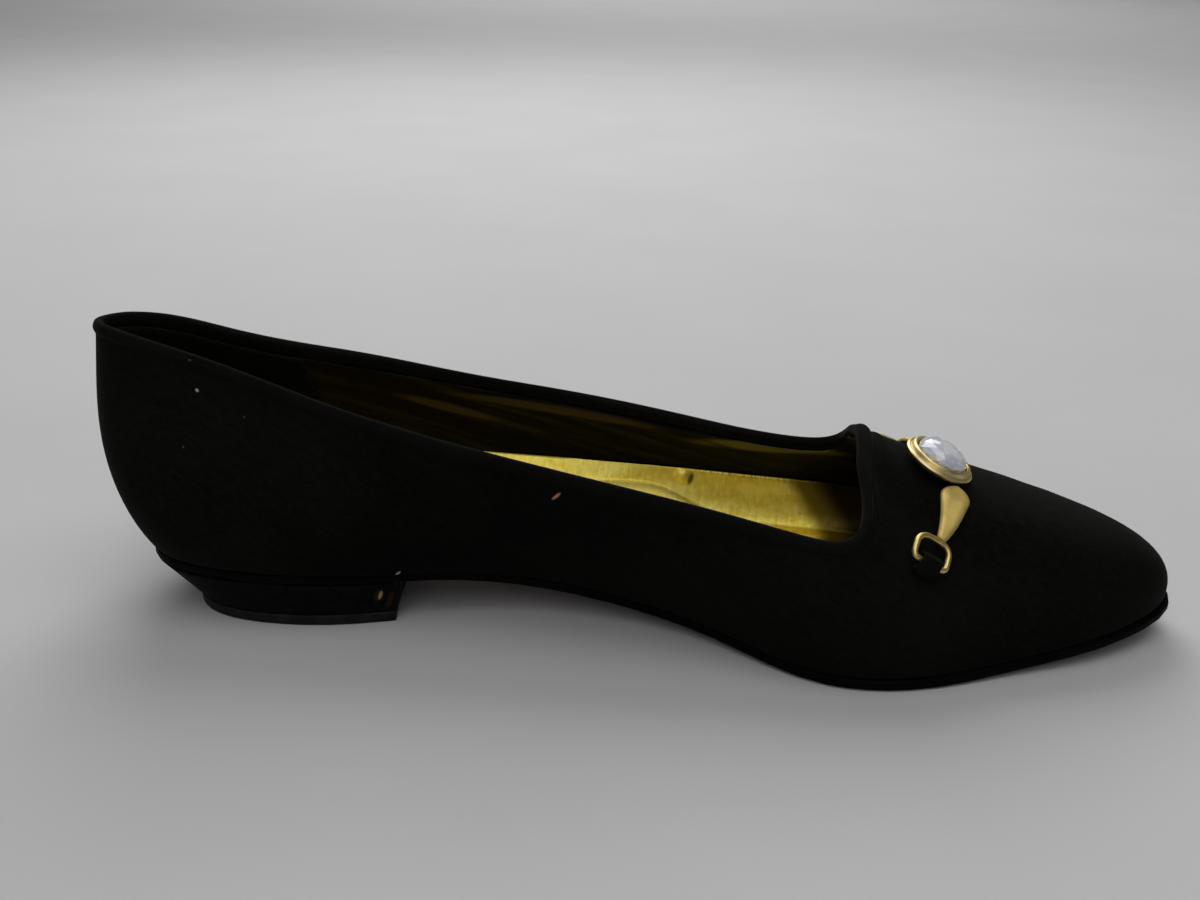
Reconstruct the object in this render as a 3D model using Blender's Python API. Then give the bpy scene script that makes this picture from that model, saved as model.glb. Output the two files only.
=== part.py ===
"""Left shoe of a pair: a low-heeled suede slip-on with a bit-style ornament across the vamp.

Metres, +Z up. +X points to the toe, -Y is the inner side of the foot, and the floor is z = 0.
The shapes are worked out in millimetres from the back of the heel, and set on the origin at the end.
"""
from collections import namedtuple

import bmesh
import bpy
import numpy as np
from mathutils import Matrix, Vector

# Driving sizes, in millimetres
LENGTH = 256.0
BALL_WIDTH = 76.0
INSTEP_HEIGHT = 47.2
HEEL_HEIGHT = 9.7
LIFT_THICKNESS = 3.0
TOE_SPRING = 6.4
WALL = 1.9
SOLE_THICKNESS = 2.6
INSOLE_THICKNESS = 2.0
GAP = 0.3
MM = 0.001

# Places along the sole in percent of the length, and the fall of the heel seat from its back to the breast
BREAST_AT = 28.8
ARCH_ENDS_AT = 68.5
SPRING_STARTS_AT = 75.5
SPRING_CURVE = 1.6
SEAT_DROP = 1.6

# The heel block: how far its foot is drawn in at the back, at the sides and at the breast
HEEL_BACK_RAKE = 10.0
HEEL_SIDE_TAPER = 1.5
BREAST_HOLLOW = 1.6
HEEL_ROWS = (0.0, 0.35, 0.7, 1.0)
LIFT_EDGE_ROUND = 0.4
HEEL_EDGE_INSET = 0.4
HEEL_STEPS = 33
BREAST_STEPS = 8

# The raised binding of the topline, and the thicker roll and the seam rib along the throat
BINDING_WIDTH = 2.8
BINDING_RISE = 0.5
ROLL_WIDTH = 4.0
ROLL_RISE = 0.9
SEAM_AT = 6.6
SEAM_HALF_WIDTH = 1.1
SEAM_RISE = 0.55
RIM_CROWN = 0.5

# Loops of the upper: distances down from the topline, then shares of what is left down to the feather line
RIM_ROWS = (0.0, 0.5, 1.3, 2.1, 2.8, 3.5, 4.2, 5.5, 6.6, 7.7)
WALL_ROWS = (0.14, 0.30, 0.46, 0.61, 0.74, 0.84, 0.91, 0.96, 1.0)
LINING_RIM_ROWS = (0.3, 2.8, 7.7)
LINING_WALL_ROWS = (0.22, 0.46, 0.66, 0.82, 0.93, 1.0)
COLUMNS_PER_RIB = 4
CURVE_STEPS = 60
SMOOTH_ANGLE = 0.7

# Short steps along the ribs and down them, over which directions of the last are taken
RIB_STEP = 0.03
DOWN_STEP = 0.6

# The sole's edge and the sock board, seen in section, and how many faces cross them
SOLE_EDGE_ROUND = 0.5
SOLE_BOTTOM_INSET = 0.9
SOLE_STRIPS = 6

# The ornament
MEDALLION_STEPS = 40
CRYSTAL_STEPS = 24
ARM_THICKNESS = 1.2
ARM_ROUND = 3.4
ARM_TIP_HALF_WIDTH = 1.0
ARM_BEVEL = 0.5
ARM_TIP_RAISE = 1.2
ARM_TIP_GAP = 0.5
ARM_STATIONS = 14
WIRE_RADIUS = 0.75
RING_WIDTH = 8.2
RING_HEIGHT = 6.2
RING_TOP_CORNER = 2.6
RING_FOOT_CORNER = 1.2
RING_CORNER_STEPS = 5
RING_RESOLUTION = 2
TAB_LEATHER = 1.0
TAB_HALF_WIDTH = 2.6
TAB_TAIL = 2.8
TAB_ROUND_STEPS = 10

# The ribs of the last, from the back of the heel round the inner side to the toe and back on the outer side.
# foot_along and top_along are percent of the length, foot_across and top_across percent of the ball width,
# and top_high is percent of the instep height. swell and crown are the pulls, in millimetres, on each rib's
# curve at its foot (outwards, upwards) and at its top (outwards, downwards).
Rib = namedtuple(
    "Rib",
    "place foot_along foot_across swell_out swell_up top_along top_across top_high crown_out crown_down",
)
RIBS = (
    Rib("heel back",           4.5,   0.0, 14.5, 19.0,  1.0,   0.0, 142.0,  1.5, 17.5),
    Rib("inner heel corner",   6.5, -20.0, 11.0, 16.5,  3.0, -10.0, 143.0,  1.5, 15.5),
    Rib("inner heel side",    14.0, -30.0,  6.0, 15.5, 12.0, -16.0, 132.5,  2.0, 13.5),
    Rib("inner breast",       26.0, -27.5,  5.0, 13.5, 24.0, -23.0, 114.5,  2.0, 11.5),
    Rib("inner waist",        37.0, -19.0,  4.0,  9.5, 35.0, -28.0, 101.0,  2.5, 11.5),
    Rib("inner arch",         48.0, -18.5,  4.0,  9.0, 46.0, -32.5,  90.5,  3.0,  9.5),
    Rib("inner arch end",     58.0, -28.5,  4.0,  9.0, 56.5, -36.0,  80.5,  4.0,  9.0),
    Rib("inner ball",         67.5, -45.5,  3.0,  9.0, 64.0, -38.5,  72.0,  4.0,  9.0),
    Rib("inner throat",       74.5, -45.5,  3.0,  9.0, 68.5, -39.0,  71.0,  7.0,  8.0),
    Rib("inner vamp",         84.0, -34.5,  3.0, 10.5, 70.0, -20.5,  89.5, 20.0, 14.5),
    Rib("inner toe",          94.5, -19.5,  5.0, 13.0, 70.0,  -9.0,  97.0, 29.5, 19.5),
    Rib("toe tip",            99.5,   0.0,  5.0, 20.5, 70.0,   0.0, 100.0, 40.0, 18.0),
    Rib("outer toe",          95.5,  18.0,  5.0, 13.0, 70.0,   9.0,  96.0, 29.5, 19.5),
    Rib("outer vamp",         85.0,  36.0,  3.0, 10.5, 70.0,  20.5,  88.0, 20.0, 14.5),
    Rib("outer throat",       75.0,  48.5,  3.0,  9.0, 68.5,  36.0,  71.0,  7.0,  8.0),
    Rib("outer ball",         66.0,  52.5,  3.0,  9.0, 64.0,  37.0,  71.0,  4.0,  9.0),
    Rib("outer ball end",     55.5,  48.0,  4.0,  9.0, 56.5,  36.0,  78.5,  4.0,  9.0),
    Rib("outer arch",         45.0,  40.5,  4.0,  9.5, 45.0,  36.0,  90.0,  3.0,  9.5),
    Rib("outer waist",        35.0,  36.0,  4.0, 11.5, 34.0,  33.5, 100.5,  2.5, 11.5),
    Rib("outer breast",       25.0,  34.5,  5.0, 13.5, 23.0,  28.0, 113.0,  2.0, 11.5),
    Rib("outer heel side",    14.0,  31.5,  6.0, 15.5, 12.0,  19.0, 128.0,  2.0, 13.5),
    Rib("outer heel corner",   6.5,  20.5, 10.0, 16.5,  3.0,  11.5, 140.0,  1.0, 15.5),
)
TOE_RIB = len(RIBS) // 2
COLUMNS = len(RIBS) * COLUMNS_PER_RIB

# Ribs between which the throat's roll and seam run at full height, and over how many ribs they fade out
THROAT_FROM = TOE_RIB - 2.4
THROAT_TO = TOE_RIB + 2.4
THROAT_FADE = 0.8

# How far the sole's edge stands out past the feather line, in millimetres, by percent of the length
SoleMargin = namedtuple("SoleMargin", "along out")
SOLE_MARGINS = (
    SoleMargin(0.0, -0.4),
    SoleMargin(28.0, -0.8),
    SoleMargin(55.0, -0.2),
    SoleMargin(72.0, 0.6),
    SoleMargin(100.0, 1.2),
)

# The turned outlines of the bezel and of its stone, from the axis outwards and up
Turned = namedtuple("Turned", "radius height")
BEZEL = (
    Turned(7.0, 0.0),
    Turned(8.0, 0.5),
    Turned(8.3, 1.1),
    Turned(8.0, 1.6),
    Turned(7.4, 1.7),
    Turned(7.2, 2.3),
    Turned(6.7, 2.7),
    Turned(6.2, 2.5),
    Turned(5.9, 1.2),
)
STONE = (
    Turned(5.4, 1.5),
    Turned(5.5, 2.4),
    Turned(5.0, 3.3),
    Turned(3.9, 4.1),
    Turned(2.2, 4.6),
)

# The medallion's place on the vamp: its rib, its distance down from the throat, how far its axis leans to
# the toe, as a slope, and how far that lifts its middle off the vamp
ORNAMENT_RIB = TOE_RIB - 0.11
MEDALLION_DISTANCE = 19.0
LEAN_TO_TOE = 0.1
LEAN_LIFT = 0.6

# Places on the vamp as ribs from the medallion and distances down from the throat. An arm starts beside the
# medallion, runs past its middle place and ends short of its ring, whose bar is the last place.
VampPlace = namedtuple("VampPlace", "ribs distance")
Arm = namedtuple("Arm", "side start middle bar")
ARMS = (
    Arm("inner", VampPlace(-0.22, 24.6), VampPlace(-1.08, 25.9), VampPlace(-2.02, 21.7)),
    Arm("outer", VampPlace(0.36, 19.4), VampPlace(1.24, 19.8), VampPlace(2.22, 17.6)),
)


def periodic_spline(values, knots):
    """Second derivatives of the closed cubic spline through values, which have one more knot than values."""
    count = len(values)
    steps = np.diff(knots)
    system = np.zeros((count, count))
    right = np.zeros_like(values)
    for i in range(count):
        before, after = steps[i - 1], steps[i]
        following = (i + 1) % count
        system[i, i - 1] += before
        system[i, i] += 2.0 * (before + after)
        system[i, following] += after
        rise_after = (values[following] - values[i]) / after
        rise_before = (values[i] - values[i - 1]) / before
        right[i] = 6.0 * (rise_after - rise_before)
    return np.linalg.solve(system, right)


class ClosedCurve:
    """A closed cubic spline, read at a rib number: 1.5 is half way from the second rib to the third."""

    def __init__(self, values, knots=None):
        self.values = np.asarray(values, float)
        if knots is None:
            chords = np.linalg.norm(np.roll(self.values, -1, axis=0) - self.values, axis=1)
            knots = np.concatenate([[0.0], np.cumsum(chords)])
        self.knots = knots
        self.bends = periodic_spline(self.values, self.knots)

    def at(self, rib):
        count = len(self.values)
        first = int(np.floor(rib)) % count
        second = (first + 1) % count
        step = self.knots[first + 1] - self.knots[first]
        b = rib - np.floor(rib)
        a = 1.0 - b
        bow = ((a**3 - a) * self.bends[first] + (b**3 - b) * self.bends[second]) * step * step / 6.0
        return a * self.values[first] + b * self.values[second] + bow


def ease(x):
    """Smooth rise from 0 at x = 0 to 1 at x = 1."""
    x = np.clip(x, 0.0, 1.0)
    return x * x * (3.0 - 2.0 * x)


def bump(x):
    """Smooth hump: 1 at x = 0, and 0 from x = 1 on both sides."""
    return 1.0 - ease(abs(x))


# The last

TOP_SCALE = np.array([LENGTH, BALL_WIDTH, INSTEP_HEIGHT]) / 100
FOOT = ClosedCurve([(r.foot_along, r.foot_across) * TOP_SCALE[:2] for r in RIBS])
TOP = ClosedCurve([(r.top_along, r.top_across, r.top_high) * TOP_SCALE for r in RIBS])
PULLS = ClosedCurve([(r.swell_out, r.swell_up, r.crown_out, r.crown_down) for r in RIBS], FOOT.knots)
COLUMN_RIBS = [column / COLUMNS_PER_RIB for column in range(COLUMNS)]
UP = np.array([0.0, 0.0, 1.0])


def sole_bottom(x):
    """Height of the sole's underside: the heel seat, the arch, the flat tread and the toe spring."""
    percent = 100.0 * x / LENGTH
    back_height = HEEL_HEIGHT + LIFT_THICKNESS
    if percent < BREAST_AT:
        return back_height - SEAT_DROP * percent / BREAST_AT
    arch = ease((percent - BREAST_AT) / (ARCH_ENDS_AT - BREAST_AT))
    spring = max(0.0, (percent - SPRING_STARTS_AT) / (100.0 - SPRING_STARTS_AT))
    return (back_height - SEAT_DROP) * (1.0 - arch) + TOE_SPRING * spring**SPRING_CURVE


def sole_top(x):
    return sole_bottom(x) + SOLE_THICKNESS


def board_bottom(x):
    return sole_top(x) + GAP


def board_top(x):
    return board_bottom(x) + INSOLE_THICKNESS


def outline_normal(rib):
    """Outward direction of the feather line, seen from above."""
    along = FOOT.at(rib + RIB_STEP) - FOOT.at(rib - RIB_STEP)
    normal = np.array([along[1], -along[0]])
    return normal / np.linalg.norm(normal)


def rib_curve(rib):
    """Points of one rib from the topline down to the feather line, and their distances from the topline."""
    out = np.append(outline_normal(rib), 0.0)
    foot_x, foot_y = FOOT.at(rib)
    foot = np.array([foot_x, foot_y, board_bottom(foot_x)])
    top = TOP.at(rib)
    swell_out, swell_up, crown_out, crown_down = PULLS.at(rib)
    low = foot + out * swell_out + UP * swell_up
    high = top + out * crown_out - UP * crown_down
    t = np.linspace(0.0, 1.0, CURVE_STEPS + 1)[:, None]
    s = 1.0 - t
    points = s**3 * top + 3 * s * s * t * high + 3 * s * t * t * low + t**3 * foot
    steps = np.linalg.norm(np.diff(points, axis=0), axis=1)
    return points, np.concatenate([[0.0], np.cumsum(steps)])


def last_point(rib, distance):
    """A point of the last's surface, at a distance down one rib from the topline."""
    points, reach = rib_curve(rib)
    return np.array([np.interp(distance, reach, points[:, axis]) for axis in range(3)])


def last_normal(rib, distance):
    """Outward direction of the last's surface."""
    down = last_point(rib, distance + DOWN_STEP) - last_point(rib, max(distance - DOWN_STEP, 0.0))
    along = last_point(rib + RIB_STEP, distance) - last_point(rib - RIB_STEP, distance)
    normal = np.cross(down, along)
    return normal / np.linalg.norm(normal)


# Mesh making

def add_ring(bm, points):
    return [bm.verts.new(Vector(point) * MM) for point in points]


def skin(bm, rings, closed=False):
    """Quads between neighbouring rings of vertices, and from the last ring back to the first if closed."""
    pairs = list(zip(rings, rings[1:]))
    if closed:
        pairs.append((rings[-1], rings[0]))
    for ring, following in pairs:
        for i in range(len(ring)):
            bm.faces.new((ring[i - 1], ring[i], following[i], following[i - 1]))


def cap_across(bm, ring, height_of):
    """Closes a ring that starts at the heel's back with strips from its inner side to its outer side."""
    half = len(ring) // 2
    rows = []
    for i in range(1, half):
        inner, outer = ring[i], ring[-i]
        row = [inner]
        for strip in range(1, SOLE_STRIPS):
            place = inner.co.lerp(outer.co, strip / SOLE_STRIPS)
            place.z = height_of(place.x / MM) * MM
            row.append(bm.verts.new(place))
        rows.append(row + [outer])
    for strip in range(SOLE_STRIPS):
        bm.faces.new((ring[0], rows[0][strip], rows[0][strip + 1]))
        bm.faces.new((ring[half], rows[-1][strip + 1], rows[-1][strip]))
        for row, following in zip(rows, rows[1:]):
            bm.faces.new((row[strip], following[strip], following[strip + 1], row[strip + 1]))


def material(name, colour, roughness, metallic=0.0):
    made = bpy.data.materials.new(name)
    made.use_nodes = True
    shader = made.node_tree.nodes["Principled BSDF"]
    shader.inputs["Base Color"].default_value = (*colour, 1.0)
    shader.inputs["Roughness"].default_value = roughness
    shader.inputs["Metallic"].default_value = metallic
    made.diffuse_color = (*colour, 1.0)
    return made


def add_object(name, data, finish):
    data.materials.append(finish)
    made = bpy.data.objects.new(name, data)
    bpy.context.collection.objects.link(made)
    return made


def finish_mesh(name, bm, finish):
    bmesh.ops.recalc_face_normals(bm, faces=bm.faces)
    mesh = bpy.data.meshes.new(name)
    bm.to_mesh(mesh)
    bm.free()
    mesh.shade_smooth()
    mesh.set_sharp_from_angle(angle=SMOOTH_ANGLE)
    return add_object(name, mesh, finish)


# Upper

def relief(rib, distance):
    """How far the binding, and along the throat the roll and the seam, stand out from the last."""
    inside = min(rib - THROAT_FROM, THROAT_TO - rib)
    throat = ease(1.0 + inside / THROAT_FADE)
    width = BINDING_WIDTH + (ROLL_WIDTH - BINDING_WIDTH) * throat
    rise = BINDING_RISE + (ROLL_RISE - BINDING_RISE) * throat
    binding = rise * bump(2.0 * distance / width - 1.0)
    seam = SEAM_RISE * throat * bump((distance - SEAM_AT) / SEAM_HALF_WIDTH)
    return binding + seam


def wall_distances(rib, rim_rows, wall_rows):
    """Distances of the upper's loops down one rib."""
    reach = rib_curve(rib)[1][-1]
    rim = rim_rows[-1]
    return list(rim_rows) + [rim + (reach - rim) * share for share in wall_rows]


def wall_loops(rim_rows, wall_rows, offset_of):
    """Loops round the upper, from the topline down, each point moved along the last's normal."""
    columns = []
    for rib in COLUMN_RIBS:
        column = []
        for distance in wall_distances(rib, rim_rows, wall_rows):
            point = last_point(rib, distance)
            column.append(point + last_normal(rib, distance) * offset_of(rib, distance))
        column[-1][2] = board_bottom(FOOT.at(rib)[0])
        columns.append(column)
    return np.swapaxes(np.array(columns), 0, 1)


def make_upper(suede):
    """Hollow shell: outer loops down, lining loops up, and the crown of the rim between them."""
    outer = wall_loops(RIM_ROWS, WALL_ROWS, relief)
    lining = wall_loops(LINING_RIM_ROWS, LINING_WALL_ROWS, lambda rib, distance: -WALL)
    rim = (outer[0] + lining[0]) / 2 + UP * RIM_CROWN
    bm = bmesh.new()
    rings = [add_ring(bm, loop) for loop in (*outer, *lining[::-1], rim)]
    skin(bm, rings, closed=True)
    return finish_mesh("upper", bm, suede)


# Sole, heel and insole

def edge_loop(rib_numbers, inset):
    """Points of the sole's edge seen from above, drawn in by an inset."""
    points = []
    for rib in rib_numbers:
        foot = FOOT.at(rib)
        margin = np.interp(
            100 * foot[0] / LENGTH,
            [row.along for row in SOLE_MARGINS],
            [row.out for row in SOLE_MARGINS],
        )
        points.append(foot + outline_normal(rib) * (margin - inset))
    return np.array(points)


def lifted(loop, height_of, offset=0.0):
    return [(x, y, height_of(x) + offset) for x, y in loop]


def make_outsole(leather):
    bm = bmesh.new()
    outside = edge_loop(COLUMN_RIBS, 0.0)
    rings = [
        add_ring(bm, lifted(edge_loop(COLUMN_RIBS, SOLE_EDGE_ROUND), sole_top)),
        add_ring(bm, lifted(outside, sole_top, -SOLE_EDGE_ROUND)),
        add_ring(bm, lifted(outside, sole_bottom, SOLE_EDGE_ROUND)),
        add_ring(bm, lifted(edge_loop(COLUMN_RIBS, SOLE_BOTTOM_INSET), sole_bottom)),
    ]
    skin(bm, rings)
    cap_across(bm, rings[0], sole_top)
    cap_across(bm, rings[-1], sole_bottom)
    return finish_mesh("outsole", bm, leather)


def heel_outline(drawn_in):
    """Outline of the heel at a share of its rake and taper, round its back and along its hollow breast."""
    breast = LENGTH * BREAST_AT / 100
    turns = np.arange(-TOE_RIB / 2, TOE_RIB / 2, RIB_STEP)
    ribs_behind = [rib for rib in turns if edge_loop([rib], HEEL_EDGE_INSET)[0][0] < breast]
    ribs = np.linspace(ribs_behind[0], ribs_behind[-1], HEEL_STEPS)
    loop = edge_loop(ribs, HEEL_EDGE_INSET + HEEL_SIDE_TAPER * drawn_in)
    back = loop[:, 0].min()
    share = np.clip((breast - loop[:, 0]) / (breast - back), 0.0, 1.0)
    loop[:, 0] += (HEEL_BACK_RAKE - HEEL_SIDE_TAPER) * drawn_in * share
    across = np.linspace(0.0, 1.0, BREAST_STEPS + 1)[1:-1, None]
    breast_line = loop[-1] + (loop[0] - loop[-1]) * across
    breast_line[:, :1] -= BREAST_HOLLOW * 4 * across * (1 - across)
    return np.vstack([loop, breast_line])


def close_ends(bm, rings):
    bm.faces.new(rings[0])
    bm.faces.new(rings[-1])


def make_heel(covering):
    bm = bmesh.new()
    rings = []
    for share in HEEL_ROWS:
        loop = heel_outline(share)
        seat = np.array([sole_bottom(x) - GAP for x, _ in heel_outline(0.0)])
        heights = seat + (LIFT_THICKNESS - seat) * share
        rings.append(add_ring(bm, np.column_stack([loop, heights])))
    skin(bm, rings)
    close_ends(bm, rings)
    return finish_mesh("heel", bm, covering)


def make_top_lift(rubber):
    bm = bmesh.new()
    outline = heel_outline(1.0)
    middle = outline.mean(axis=0)
    inwards = middle - outline
    inwards /= np.linalg.norm(inwards, axis=1)[:, None]
    rings = [
        add_ring(bm, lifted(outline, lambda x: LIFT_THICKNESS - GAP)),
        add_ring(bm, lifted(outline, lambda x: LIFT_EDGE_ROUND)),
        add_ring(bm, lifted(outline + inwards * LIFT_EDGE_ROUND, lambda x: 0.0)),
    ]
    skin(bm, rings)
    close_ends(bm, rings)
    return finish_mesh("top_lift", bm, rubber)


def make_insole(sock):
    bm = bmesh.new()
    inset = WALL + GAP
    loop = np.array([FOOT.at(rib) - outline_normal(rib) * inset for rib in COLUMN_RIBS])
    rings = [add_ring(bm, lifted(loop, board_top)), add_ring(bm, lifted(loop, board_bottom))]
    skin(bm, rings)
    cap_across(bm, rings[0], board_top)
    cap_across(bm, rings[-1], board_bottom)
    return finish_mesh("insole", bm, sock)


# Ornament

def turned_piece(name, outline, steps, finish):
    """A piece turned about the medallion's axis, which stands on the vamp."""
    seat = last_point(ORNAMENT_RIB, MEDALLION_DISTANCE)
    axis = last_normal(ORNAMENT_RIB, MEDALLION_DISTANCE) + (LEAN_TO_TOE, 0.0, 0.0)
    axis /= np.linalg.norm(axis)
    across = np.cross(axis, (1.0, 0.0, 0.0))
    across /= np.linalg.norm(across)
    ahead = np.cross(across, axis)
    angles = np.linspace(0.0, 2.0 * np.pi, steps, endpoint=False)
    bm = bmesh.new()
    rings = []
    for row in outline:
        middle = seat + axis * (GAP + LEAN_LIFT + row.height)
        circle = [middle + row.radius * (across * np.cos(a) + ahead * np.sin(a)) for a in angles]
        rings.append(add_ring(bm, circle))
    skin(bm, rings)
    close_ends(bm, rings)
    return finish_mesh(name, bm, finish)


def arm_path(arm):
    """Points down the vamp from beside the medallion to the ring's bar, their normals and their reach."""
    t = np.linspace(0.0, 1.0, CURVE_STEPS)
    weights = ((1 - t) * (1 - 2 * t), 4 * t * (1 - t), t * (2 * t - 1))
    places = (arm.start, arm.middle, arm.bar)
    ribs = ORNAMENT_RIB + sum(weight * place.ribs for weight, place in zip(weights, places))
    distances = sum(weight * place.distance for weight, place in zip(weights, places))
    points = np.array([last_point(rib, distance) for rib, distance in zip(ribs, distances)])
    normals = np.array([last_normal(rib, distance) for rib, distance in zip(ribs, distances)])
    steps = np.linalg.norm(np.diff(points, axis=0), axis=1)
    return points, normals, np.concatenate([[0.0], np.cumsum(steps)])


def arm_half_width(reach, length):
    """Half width of the paddle: a round wide end, then a taper to the ring."""
    if reach < ARM_ROUND:
        return max(np.sqrt(ARM_ROUND**2 - (ARM_ROUND - reach) ** 2), ARM_BEVEL)
    share = (reach - ARM_ROUND) / (length - ARM_ROUND)
    return ARM_ROUND + (ARM_TIP_HALF_WIDTH - ARM_ROUND) * share


def make_arm(arm, gold):
    points, normals, reaches = arm_path(arm)
    length = reaches[-1] - RING_HEIGHT - WIRE_RADIUS - ARM_TIP_GAP
    stations = length * (1.0 - np.cos(np.linspace(0.0, np.pi / 2, ARM_STATIONS)))
    bm = bmesh.new()
    rings = []
    for reach in stations:
        middle, ahead, normal = (
            np.array([np.interp(r, reaches, column[:, axis]) for axis in range(3)])
            for column, r in ((points, reach), (points, reach + 0.5), (normals, reach))
        )
        across = np.cross(normal, ahead - middle)
        across /= np.linalg.norm(across)
        half = arm_half_width(reach, length)
        bevel = min(ARM_BEVEL, half / 2)
        base = GAP + ARM_TIP_RAISE * ease(reach / length)
        shoulder = base + ARM_THICKNESS - bevel
        top = base + ARM_THICKNESS
        section = (
            (-half, base),
            (half, base),
            (half, shoulder),
            (half - bevel, top),
            (bevel - half, top),
            (-half, shoulder),
        )
        rings.append(add_ring(bm, [middle + across * y + normal * z for y, z in section]))
    skin(bm, rings)
    close_ends(bm, rings)
    return finish_mesh("arm_" + arm.side, bm, gold)


def bar_frame(arm):
    """Middle of the ring's bar, and the directions down the vamp, along the bar and off the vamp."""
    points, normals, _ = arm_path(arm)
    normal = normals[-1]
    down = points[-1] - points[-2]
    down -= normal * (down @ normal)
    down /= np.linalg.norm(down)
    height = GAP + TAB_LEATHER + GAP + WIRE_RADIUS
    return points[-1] + normal * height, down, np.cross(normal, down), normal


def make_ring(arm, gold):
    """Wire bent to a rounded loop, whose lower bar runs through the tab."""
    bar, down, along, _ = bar_frame(arm)
    half = RING_WIDTH / 2
    corners = (
        (half - RING_FOOT_CORNER, -RING_FOOT_CORNER, RING_FOOT_CORNER, 0.0),
        (half - RING_TOP_CORNER, RING_TOP_CORNER - RING_HEIGHT, RING_TOP_CORNER, 0.5),
        (RING_TOP_CORNER - half, RING_TOP_CORNER - RING_HEIGHT, RING_TOP_CORNER, 1.0),
        (RING_FOOT_CORNER - half, -RING_FOOT_CORNER, RING_FOOT_CORNER, 1.5),
    )
    path = []
    for middle_along, middle_down, radius, start in corners:
        for angle in np.pi * np.linspace(start, start + 0.5, RING_CORNER_STEPS + 1):
            y = middle_along + radius * np.sin(angle)
            x = middle_down + radius * np.cos(angle)
            path.append((bar + along * y + down * x) * MM)
    name = "ring_" + arm.side
    curve = bpy.data.curves.new(name, "CURVE")
    curve.dimensions = "3D"
    curve.bevel_depth = WIRE_RADIUS * MM
    curve.bevel_resolution = RING_RESOLUTION
    spline = curve.splines.new("POLY")
    spline.points.add(len(path) - 1)
    for point, place in zip(spline.points, path):
        point.co = (*place, 1.0)
    spline.use_cyclic_u = True
    return add_object(name, curve, gold)


def make_tab(arm, suede):
    """Suede strip folded round the ring's bar and sewn down behind it."""
    bar, down, along, normal = bar_frame(arm)
    outside = WIRE_RADIUS + GAP + TAB_LEATHER
    turn = np.linspace(-np.pi / 2, -3 * np.pi / 2, TAB_ROUND_STEPS + 1)
    profile = [(outside * np.cos(angle), outside * np.sin(angle)) for angle in turn]
    profile += [
        (TAB_TAIL / 2, outside / 2),
        (TAB_TAIL, TAB_LEATHER - outside),
        (TAB_TAIL, -outside),
        (TAB_TAIL / 2, -outside),
    ]
    hole = WIRE_RADIUS + GAP
    bore = [(hole * x / np.hypot(x, z), hole * z / np.hypot(x, z)) for x, z in profile]
    bm = bmesh.new()
    rings = []
    for outline, y in (
        (profile, -TAB_HALF_WIDTH),
        (profile, TAB_HALF_WIDTH),
        (bore, TAB_HALF_WIDTH),
        (bore, -TAB_HALF_WIDTH),
    ):
        rings.append(add_ring(bm, [bar + along * y + down * x + normal * z for x, z in outline]))
    skin(bm, rings, closed=True)
    return finish_mesh("tab_" + arm.side, bm, suede)


def stand_on_origin(pieces):
    """Moves all pieces so that the origin is on the floor, under the middle of the shoe."""
    corners = np.array(
        [piece.matrix_world @ Vector(corner) for piece in pieces for corner in piece.bound_box]
    )
    middle = (corners.min(axis=0) + corners.max(axis=0)) / 2
    for piece in pieces:
        piece.data.transform(Matrix.Translation((-middle[0], -middle[1], 0.0)))


def main():
    for old in list(bpy.data.objects):
        bpy.data.objects.remove(old, do_unlink=True)
    suede = material("black suede", (0.012, 0.011, 0.011), 0.95)
    covering = material("black heel covering", (0.014, 0.013, 0.013), 0.7)
    leather = material("dark sole leather", (0.035, 0.022, 0.016), 0.55)
    rubber = material("black lift rubber", (0.02, 0.02, 0.021), 0.5)
    sock = material("gold sock", (0.62, 0.5, 0.16), 0.35, 0.6)
    gold = material("satin gold", (0.72, 0.55, 0.22), 0.3, 1.0)
    stone = material("clear stone", (0.8, 0.82, 0.86), 0.08)
    pieces = [
        make_upper(suede),
        make_outsole(leather),
        make_heel(covering),
        make_top_lift(rubber),
        make_insole(sock),
        turned_piece("medallion", BEZEL, MEDALLION_STEPS, gold),
        turned_piece("crystal", STONE, CRYSTAL_STEPS, stone),
    ]
    for arm in ARMS:
        pieces.append(make_arm(arm, gold))
        pieces.append(make_ring(arm, gold))
        pieces.append(make_tab(arm, suede))
    bpy.context.view_layer.update()
    stand_on_origin(pieces)


main()
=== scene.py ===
# %% [markdown]
# # Dressing a black suede slip-on
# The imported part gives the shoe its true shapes: the last, the thin sole, the low heel and the bit across the
# vamp. This lesson gives those shapes their looks, one piece and one finish at a time: napped suede, a gold
# lining, a worn sole and satin metal. Lengths are in metres, and in millimetres where a comment says so, in
# the part's own frame: +X is the toe, +Y the outer side and +Z up.

# %% Load the part
import math

import bpy
import numpy as np
from mathutils import Euler, Matrix, Vector, kdtree, noise


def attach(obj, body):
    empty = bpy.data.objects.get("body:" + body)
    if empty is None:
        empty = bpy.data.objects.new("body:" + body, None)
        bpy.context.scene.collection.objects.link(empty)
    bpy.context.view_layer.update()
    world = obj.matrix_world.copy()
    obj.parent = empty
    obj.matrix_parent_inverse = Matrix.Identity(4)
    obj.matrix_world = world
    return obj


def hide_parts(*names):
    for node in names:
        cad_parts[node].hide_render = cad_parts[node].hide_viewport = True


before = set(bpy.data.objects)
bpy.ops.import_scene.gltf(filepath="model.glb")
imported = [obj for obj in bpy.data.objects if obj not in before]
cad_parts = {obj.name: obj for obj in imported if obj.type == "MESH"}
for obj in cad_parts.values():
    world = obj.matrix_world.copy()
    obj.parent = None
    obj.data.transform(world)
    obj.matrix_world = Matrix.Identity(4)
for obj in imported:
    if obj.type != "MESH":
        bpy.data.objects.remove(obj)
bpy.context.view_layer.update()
MM = 0.001

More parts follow.
